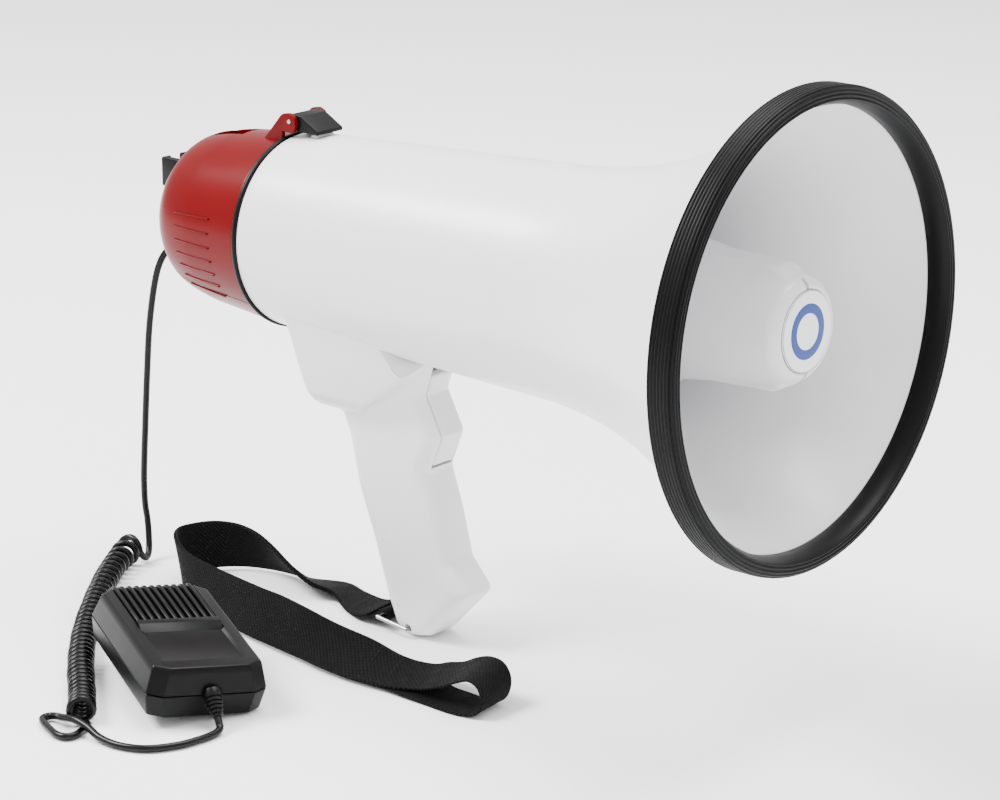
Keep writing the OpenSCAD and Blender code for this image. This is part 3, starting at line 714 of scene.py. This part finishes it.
def make_stitches(middle, across, up, run):
    """Seams across the strap beside the bail and at the foot of the hand loop."""
    seams = []
    layer = length_of(np.array([(np.array(a) + np.array(b)) / 2 for a, b in zip(NEAR, FAR)]))
    for start, rows in ((1.5, (0, 14)), (layer - 12, (0, 14))):
        for row in rows:
            seams.append([(start + row, u) for u in np.arange(-10.5, 10.6, 3)])
        for side in (-10.5, 10.5):
            seams.append([(start + v, side) for v in np.arange(1.5, 13, 3)])
    parts = []
    for seam in seams:
        for s, u in seam:
            i = int(np.searchsorted(run, s))
            centre = middle[i] + across[i] * u
            step = across[i] if seam[0][0] == seam[-1][0] else headings(middle)[i]
            ends = [centre + step * t + up[i] * h for t, h in STITCH]
            ends = [e if up[i][2] > 0 else e - 2 * up[i] * (e - centre).dot(up[i]) for e in ends]
            parts.append(tube("stitch", ends, 0.2, GROUND, sides=5))
    stitches = join("stitches", parts)
    dress(stitches, "strap_thread")
    shade(stitches, 60)
    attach(stitches, "root")
    return stitches


make_strap()

# ---------------------------------------------------------------- horn
RIDGE_PITCH = 1.72
RIDGE_DEPTH = 0.55
RIM_GROOVE = (99.6, 101.6)  # radii of the groove that holds the edge of the body's mouth


def make_horn_body():
    outer = [(-BODY_LEN + 0.0, horn_r(-BODY_LEN) - 0.7), (-BODY_LEN + 0.2, horn_r(-BODY_LEN) - 0.2)]
    outer += [(x, horn_r(x)) for x in np.linspace(-BODY_LEN + 0.8, -140, 40)]
    outer += [(x, horn_r(x)) for x in np.linspace(-138, -11, 64)]
    lip = [(-11, 101.5), (-3.6, 101.5), (-3.6, 99.7), (-11, 99.7)]
    inner = [(x, horn_r(x) - WALL) for x in np.linspace(-11, -BODY_LEN, 104)]
    body = lathe("horn_body", outer + lip + inner, HORN, FINE)
    catch = block("catch", (-294, -6, horn_r(-294) - 1), (-290, 6, horn_r(-294) + 1), HORN, 0.5)
    piece(join("white_body", [body, catch]), "root", "white_plastic", "horn_body")


def make_rim():
    """Rubber rim with fine ridges round its side, its corner and its face."""
    r = BELL_R - 0.1
    base = [(x, r) for x in np.linspace(-12.3, -3.4, 60)]
    base += [(-3.3 + 3.2 * math.sin(a), r - 3.3 + 3.3 * math.cos(a))
             for a in np.linspace(0.05, math.pi / 2, 36)]
    base += [(-0.1, y) for y in np.linspace(r - 3.45, r - 6.4, 22)]
    base = np.array(base)
    along = headings(base)
    run = np.concatenate([[0], np.cumsum(np.linalg.norm(np.diff(base, axis=0), axis=1))])
    depth = RIDGE_DEPTH * (0.5 - 0.5 * np.cos(2 * math.pi * run / RIDGE_PITCH)) ** 1.6
    skin = base - np.stack([-along[:, 1], along[:, 0]], axis=1) * depth[:, None]
    back = [(-0.5, BELL_R - 6.9), (-2.0, BELL_R - 7.7), (-5.0, BELL_R - 9.0), (-10.4, BELL_R - 9.0),
            (-10.9, BELL_R - 8.7), (-10.9, RIM_GROOVE[0]), (-3.5, RIM_GROOVE[0]), (-3.5, RIM_GROOVE[1]),
            (-12.5, RIM_GROOVE[1]), (-12.5, BELL_R - 0.7)]
    rim = lathe("rim", [tuple(p) for p in skin] + back, HORN, FINE)
    piece(rim, "root", "rim_rubber", "bell_rim", angle=50)


def make_reflector():
    rear = -118
    slope = 0.14
    outer = [(-12.5, 0), (-12.5, 21), (-14.5, 24), (rear, 24 + slope * (-14 - rear)), (rear, 0)]
    shell = lathe("reflector", outer, HORN, COARSE)
    for s in (1, -1):
        fin = [(-14, 0), (-14, s * 20), (-16, s * 25.8), (-21, s * 28), (-72, s * 29.5), (-98, s * 54),
               (rear, s * 52.6), (rear, 0)]
        combine(shell, slab("fin", fin, 3, 8, 2.2, HORN), "UNION")
    soften(shell, 0.8, 6)
    inner = [(-14, 0), (-14, 16), (-19, 21.5), (rear - 2, 21.8 + slope * (-17 - rear)), (rear - 2, 0)]
    combine(shell, lathe("hollow", inner, HORN, COARSE), "DIFFERENCE")
    nose = [(-9.9, 0), (-9.9, 18.3), (-9.2, 18.4), (-8.6, 18.6), (-8.3, 19.0), (-8.25, 19.6), (-8.6, 20.3),
            (-9.3, 21.2), (-10.4, 22.3), (-11.8, 23.3), (-13.4, 23.9), (-15, 24.1), (-15, 0)]
    collar = lathe("collar", nose, HORN, COARSE)
    for s in (1, -1):
        notch = block("notch", (-12, -1.1, min(s * 17, s * 26)), (-5, 1.1, max(s * 17, s * 26)), HORN)
        combine(collar, notch, "DIFFERENCE")
    piece(join("reflector_horn", [shell, collar]), "root", "ivory_plastic", "reflector", angle=40)
    face = [(-8.9, 0), (-8.9, 18.0), (-8.3, 18.2), (-7.95, 18.1), (-7.8, 17.8), (-7.7, 10), (-7.65, 0)]
    badge = lathe("badge", face, HORN, COARSE)
    piece(badge, "root", "badge_plastic", "badge_disc", angle=40)


make_horn_body()
make_rim()
make_reflector()

# ---------------------------------------------------------------- grip and trigger
GRIP_SIDE = [(-213.5, -46), (-217.5, -58), (-220.5, -67), (-210.5, -86), (-218, -104.5), (-211, -125),
             (-205, -148), (-192.5, -162), (-217, -187.5), (-228, -190), (-238, -186), (-243, -174),
             (-253, -143), (-262, -120), (-268, -94), (-272, -85), (-284, -80), (-286, -34), (-213.5, -34)]
BAIL_HOLE = (-228.5, -185)
TRIGGER_PIN = (-222, -63)
GRIP_SCREWS = [(-276, -60), (-247, -58), (-250, -128), (-214, -168)]


def make_saddle():
    rings = []
    for z, x0, x1, w in ((-30, -288, -214, 36.3), (-38, -288, -215, 32.8), (-46, -288, -216, 29.6),
                         (-54, -287.8, -218, 27.2), (-60, -287.6, -226, 25.4), (-68, -287, -238, 22.8),
                         (-74, -286.2, -247, 21), (-78, -284.6, -253, 18.6), (-80.5, -283, -255, 16),
                         (-81.8, -281.4, -256, 13.4)):
        outline = [(x0, -w), (x1, -w), (x1, w), (x0, w)]
        rings.append([(p.x, p.y, z) for p in fillet(outline, 1.5)])
    return loft("saddle", rings, HORN)


def make_handle():
    """The handle's flat middle with its front edge, falling away to rounded sides."""
    outline = GRIP_SIDE[::-1] if area_sign(GRIP_SIDE) < 0 else GRIP_SIDE
    rings = []
    levels = ((-13, 6.5), (-12.4, 4), (-11, 1.8), (-8.6, 0), (8.6, 0), (11, 1.8), (12.4, 4), (13, 6.5))
    for y, depth in levels:
        rings.append([(p.x, y, p.y) for p in fillet(inset(outline, depth), 2.5)])
    return loft("handle", rings, HORN)


def make_grip():
    grip = make_handle()
    soften(grip, 1.0, 0)
    combine(grip, make_saddle(), "UNION")
    soften(grip, 0.9, 5)
    body = [(-300, 0), (-300, horn_r(-300) + 0.05), (-200, horn_r(-200) + 0.05), (-200, 0)]
    combine(grip, lathe("seat", body, HORN, FINE), "DIFFERENCE")
    slot = [(-195, -52), (-227, -52), (-231.5, -70), (-234, -103), (-195, -103)]
    combine(grip, slab("slot", slot, 0.5, 7.4, 0.3, HORN), "DIFFERENCE")
    for s in (1, -1):
        outside = [(-229, s * 36, -40), (-200, s * 36, -40), (-200, s * 36, -55), (-222, s * 36, -55)]
        inside = [(-224, s * 12.2, -45), (-200, s * 9.4, -45), (-200, s * 9.4, -51), (-214, s * 9.5, -52)]
        combine(grip, loft("pocket", [outside, inside], HORN), "DIFFERENCE")
    for x, z in GRIP_SCREWS:
        combine(grip, peg("counterbore", (x, 10.1, z), 20, 3.1), "DIFFERENCE")
    combine(grip, peg("bail_hole", (BAIL_HOLE[0], -20, BAIL_HOLE[1]), 40, 2.1), "DIFFERENCE")
    piece(grip, "root", "white_plastic", "grip_left", "grip_right", angle=38)


def peg(name, start, length, radius):
    """A cylinder along y in the horn's frame."""
    sides = 32
    rings = []
    for y in (start[1], start[1] + length):
        rings.append([(start[0] + radius * math.cos(2 * math.pi * k / sides), y,
                       start[2] + radius * math.sin(2 * math.pi * k / sides)) for k in range(sides)])
    return loft(name, rings, HORN)


def make_trigger():
    outline = [(-216.5, -57), (-218, -62), (-219.5, -67), (-209.5, -85.6), (-216.4, -101.5), (-223.9, -101.5),
               (-225.9, -84), (-226.6, -70), (-226.5, -58.5), (-222, -56.5)]
    trigger = slab("trigger_blade", outline, [1.5, 3, 3, 1.8, 1.5, 1, 1, 1, 1.5, 1.5], 6.95, 1.1, HORN)
    piece(trigger, "trigger", "ivory_plastic", "trigger", angle=50)
    pin = bevel(peg("trigger_axle", (TRIGGER_PIN[0], -9.4, TRIGGER_PIN[1]), 18.8, 1.5), 0.3, 2)
    piece(pin, "root", "steel", "trigger_pin", angle=40)


make_grip()
make_trigger()

# ---------------------------------------------------------------- rear cap, latch and bracket
RIB_COUNT, RIB_FIRST, RIB_STEP = 7, 78, 9  # on each side; degrees from the top
GROOVE_TURN = 131
CAP_X = -307.6
CAP_BACK = -375
PANEL_R = 28.5
PIN = (-303, 55)
CAP_SIDE = [(-375, 29.7), (-374, 31.2), (-371, 34.2), (-367, 37.5), (-363, 39.7), (-358, 41.3), (-352, 42.6),
            (-346, 43.6), (-340, 44.3), (-307.6, 47.5)]


def spin(points, angle):
    """Turns a list of (x, y, z) points about the horn's axis."""
    c, s = math.cos(math.radians(angle)), math.sin(math.radians(angle))
    return [(x, y * c - z * s, y * s + z * c) for x, y, z in points]


def cap_r(x):
    """Outer radius of the cap at x."""
    line = spline(CAP_SIDE, 6)
    return float(np.interp(x, line[:, 0], line[:, 1]))


def make_cap():
    outer = [(CAP_X, 47.0), (CAP_X - 0.2, 47.3), (CAP_X - 0.7, 47.43)]
    outer += [(x, cap_r(x)) for x in np.linspace(CAP_X - 1.5, -366, 40)]
    outer += [(x, cap_r(x)) for x in np.linspace(-367, CAP_BACK, 20)]
    inner = [(CAP_BACK, PANEL_R + 0.1), (CAP_BACK + 2.2, PANEL_R + 0.1), (-360, 37), (-348, 40.5),
             (CAP_X - 6, 42.4), (CAP_X + 10, 42.4), (CAP_X + 10, 44.3), (CAP_X, 44.3)]
    cap = lathe("cap", outer + inner, HORN, MEDIUM)
    liner = loft("liner", [[(x, -11, low), (x, 11, low), (x, 11, high), (x, -11, high)]
                           for x, low, high in ((-362, 33, 37.6), (-334, 36, 42.4))], HORN)
    combine(cap, liner, "UNION")
    pocket = loft("pocket", [[(-361, -8, 50), (-336, -8, 50), (-336, 8, 50), (-361, 8, 50)],
                             [(-358, -8, 36.6), (-339, -8, 39.4), (-339, 8, 39.4), (-358, 8, 36.6)]], HORN)
    combine(cap, pocket, "DIFFERENCE")
    for s in (1, -1):
        low = [(x, cap_r(x) - 0.9) for x in (-371, -363, -352, -332, -309)]
        rings = [[(x, -0.35, r) for x, r in low] + [(x, 0.35, r) for x, r in low[::-1]],
                 [(x, -0.35, 60) for x, r in low] + [(x, 0.35, 60) for x, r in low[::-1]]]
        groove = loft("groove", [spin(ring, s * GROOVE_TURN) for ring in rings], HORN)
        combine(cap, groove, "DIFFERENCE")
    ribs = []
    for s in (1, -1):
        for i in range(RIB_COUNT):
            ring = [[(-352, y * w, 41.6 + h), (-326, y * w, 44.8 + h)] for y in (-1, 1)
                    for w, h in ((0.65, 0), (0.3, 1.75))]
            a, b, c, d = ring
            verts = spin(a + b + c + d, s * (RIB_FIRST + i * RIB_STEP))
            faces = [(0, 1, 3, 2), (2, 3, 7, 6), (6, 7, 5, 4), (0, 2, 6, 4), (1, 5, 7, 3), (0, 4, 5, 1)]
            ribs.append(bevel(outward(link("rib", verts, faces, HORN)), 0.2, 2))
    ears = []
    outline = [(-321, 43.8), (-307.9, 43.8), (-307.8, 49.5), (-300.6, 49.5), (-299.1, 53.6), (-299.8, 57.3),
               (-303.2, 59), (-308.2, 58.2)]
    for s in (1, -1):
        side = HORN @ Matrix.Translation((0, s * 10.3, 0))
        ears.append(slab("ear", outline, [0.4, 0.4, 0.4, 0.8, 2, 3, 3, 4], 1.2, 0.5, side))
    piece(join("cap_shell", [cap] + ribs + ears), "rear_cap", "red_plastic", "rear_cap", angle=38)
    rivets = [peg("rivet", (PIN[0], y, PIN[1]), 0.7, 1.15) for y in (-12.0, 11.3)]
    pin = peg("pin", (PIN[0], -11.4, PIN[1]), 22.8, 1.4)
    piece(bevel(join("pin_with_rivets", rivets + [pin]), 0.3, 2), "rear_cap", "steel", "latch_pin", angle=40)


def make_latch():
    outline = [(-306.7, 55), (-305, 51.2), (-299.5, 49.9), (-287, 49.9), (-287, 51.6), (-298, 57.8),
               (-304, 58.8)]
    latch = slab("latch_block", outline, [3.4, 2, 0.6, 0.3, 0.3, 0.8, 3], 9, 0.6, HORN)
    combine(latch, peg("pin_hole", (PIN[0], -12, PIN[1]), 24, 1.55), "DIFFERENCE")
    piece(latch, "latch", "black_plastic", "latch", angle=40)


def make_bracket():
    hook = block("bracket", (-395, -9, 10), (-375.1, 9, 25), HORN, 1.1, 3)
    combine(hook, block("pocket", (-392.5, -6.5, 12.5), (-378.3, 6.5, 28), HORN, 0.4, 2), "DIFFERENCE")
    combine(hook, block("slit", (-397, -4.2, 15), (-391, 4.2, 28), HORN), "DIFFERENCE")
    piece(hook, "rear_cap", "black_plastic", "mic_hook", angle=35)


def make_gasket():
    ring = lathe("gasket", [(-307.55, 45), (-307.55, 48.0), (-307.2, 48.45), (-306.3, 48.6), (-305.4, 48.45),
                            (-305.05, 48.0), (-305.05, 45)], HORN, MEDIUM)
    piece(ring, "root", "rim_rubber", "gasket_ring", angle=50)


make_cap()
make_latch()
make_bracket()
make_gasket()

# ---------------------------------------------------------------- microphone
SLATS, SLAT_FIRST, SLAT_PITCH = 11, -18.5, 3.7


def mic_ring(z, x0, x1, w, corner=1.6, grow=0.0):
    cut = 7
    x0, x1, w = x0 - grow, x1 + grow, w + grow
    outline = [(x0, -w + cut), (x0 + cut * 0.6, -w), (x1 - cut, -w), (x1, -w + cut), (x1, w - cut),
               (x1 - cut, w), (x0 + cut * 0.6, w), (x0, w - cut)]
    return [(p.x, p.y, z) for p in fillet(outline, corner, 4)]


def between(a, b, t):
    return [p + (q - p) * t for p, q in zip(a, b)]


def make_mic_shells():
    low, high = (-12.6, -1, 93, 29), (0, 2, 90, 26)
    rings = [mic_ring(-12.7, *low[1:], grow=-0.5), mic_ring(-12.65, *low[1:], grow=-0.4)]
    for t in (0.02, 0.1, 0.4, 0.7, 0.9):
        z, x0, x1, w = between(low, high, t)
        rings.append(mic_ring(z, x0, x1, w))
    for z, grow in ((-0.75, -0.05), (-0.35, -0.3), (-0.1, -0.75), (0.0, -1.3)):
        rings.append(mic_ring(z, *high[1:], grow=grow))
    front = loft("mic_front", rings, MIC)
    panel = [[(41.3, -20.4, 0.5), (41.3, 20.4, 0.5), (9.2, 20.9, 0.5), (9.2, -20.9, 0.5)],
             [(41.3, -18.9, -1.5), (41.3, 18.9, -1.5), (11.6, 18.9, -1.5), (11.6, -18.9, -1.5)]]
    combine(front, bevel(loft("panel", panel, MIC), 0.5, 2), "DIFFERENCE")
    combine(front, block("window", (41.2, -20.3, -4), (95, 20.3, 3), MIC), "DIFFERENCE")
    rear_wall = block("far_wall", (88.3, -20.4, -12), (92.6, 20.4, -3.4), MIC)
    combine(rear_wall, block("slope", (80, -30, -3.2), (99, 30, 4), MIC), "DIFFERENCE")
    piece(join("mic_front_half", [front, rear_wall]), "root", "mic_plastic", "mic_front_shell", angle=28)
    high, low = (-13.0, -1, 93, 29), (-22.8, 0, 92, 27.4)
    rings = [mic_ring(-12.9, *high[1:], grow=-0.5), mic_ring(-12.95, *high[1:], grow=-0.4)]
    for t in (0.03, 0.15, 0.4, 0.7, 0.9):
        z, x0, x1, w = between(high, low, t)
        rings.append(mic_ring(z, x0, x1, w, 2))
    for z, grow in ((-23.4, -0.25), (-24.0, -0.9), (-24.5, -1.9), (-24.8, -3.0), (-25.0, -4.4)):
        rings.append(mic_ring(z, *low[1:], 2, grow))
    back = loft("mic_back", rings, MIC)
    combine(back, block("talk_slot", (47, -40, -20.5), (71, -21, -13.5), MIC), "DIFFERENCE")
    piece(back, "root", "mic_plastic", "mic_back_shell", angle=28)


def make_mic_grille():
    parts = [block("plate", (41.4, -20.1, -3.6), (91.6, 20.1, -1.8), MIC)]
    for i in range(SLATS):
        y = SLAT_FIRST + i * SLAT_PITCH
        rings = []
        for x, top, half in ((51.2, -1.6, 0.9), (51.6, 0.5, 0.95), (52.4, 1.0, 1.0), (70, 1.05, 1.0),
                             (85, 1.0, 1.0), (88, 0.7, 1.0), (90, -0.2, 0.98), (91.2, -1.6, 0.95),
                             (91.7, -3.4, 0.9)):
            foot = max(top - half, -3.5)
            arc = [(x, y + half * math.cos(math.radians(a)), foot + half * math.sin(math.radians(a)))
                   for a in range(0, 181, 20)]
            rings.append([(x, y + half, -3.6)] + arc + [(x, y - half, -3.6)])
        parts.append(loft("rib", rings, MIC))
    bar = [[(41.3, y, -1.5), (41.8, y, -1.1), (46.2, y, 1.0), (46.8, y, 1.2), (50.4, y, 1.2), (51, y, 0.8),
            (51, y, -1.9), (41.3, y, -1.9)] for y in (-20.0, 20.0)]
    parts.append(bevel(loft("bar", bar, MIC), 0.3, 2))
    piece(join("grille", parts), "root", "mic_plastic", "mic_grille", angle=40)


def make_mic_details():
    button = block("talk_bar", (47.8, -32, -19.4), (70.2, -24, -9.8), MIC, 1.6, 4)
    piece(button, "mic_talk_button", "grey_plastic", "mic_talk_button", angle=40)
    droop = MIC @ Matrix.Translation((-2.5, -1, -12.8)) @ Matrix.Rotation(math.radians(-35), 4, "Y")
    profile = [(2.6, 0), (2.6, 4.6), (0.4, 4.7)]
    for i in range(5):
        x, r = -0.2 - i * 1.95, 4.6 - i * 0.38
        profile += [(x, r), (x - 1.15, r - 0.12), (x - 1.25, r - 0.95), (x - 1.85, r - 1.0)]
    profile += [(-10.2, 2.5), (-10.6, 2.2), (-10.6, 0)]
    piece(lathe("strain_relief", profile, droop, 40), "root", "cord_rubber", "mic_strain_relief", angle=40)


make_mic_shells()
make_mic_grille()
make_mic_details()

# ---------------------------------------------------------------- floor and light


def make_stage():
    mesh = bpy.data.meshes.new("floor")
    size = 6
    corners = [(-size, -size, 0), (size, -size, 0), (size, size, 0), (-size, size, 0)]
    mesh.from_pydata(corners, [], [(0, 1, 2, 3)])
    floor = bpy.data.objects.new("floor", mesh)
    bpy.context.scene.collection.objects.link(floor)
    paper = Nodes("paper", (0.95, 0.95, 0.95), 0.8)
    paper.bump(paper.noise(900, 2), "Fac", 0.05, 0.0001)
    mesh.materials.append(paper.material)


def add_area(name, place, target, size, power):
    data = bpy.data.lights.new(name, "AREA")
    data.shape = "RECTANGLE"
    data.size, data.size_y = size
    data.energy = power
    light = bpy.data.objects.new(name, data)
    light.location = place
    light.rotation_euler = (Vector(target) - Vector(place)).to_track_quat("-Z", "Y").to_euler()
    bpy.context.scene.collection.objects.link(light)


def make_lights():
    world = bpy.data.worlds.new("studio")
    world.use_nodes = True
    world.node_tree.nodes["Background"].inputs["Color"].default_value = (1, 1, 1, 1)
    world.node_tree.nodes["Background"].inputs["Strength"].default_value = 1.3
    bpy.context.scene.world = world
    add_area("key", (-1.3, -0.9, 1.9), (0, 0, 0.15), (1.1, 0.9), 125)
    add_area("front", (1.7, -1.3, 1.2), (0.1, 0, 0.15), (1.2, 1.2), 6)
    add_area("top", (0.1, 0.5, 2.1), (0, 0, 0.1), (1.6, 1.2), 76)


make_stage()
make_lights()
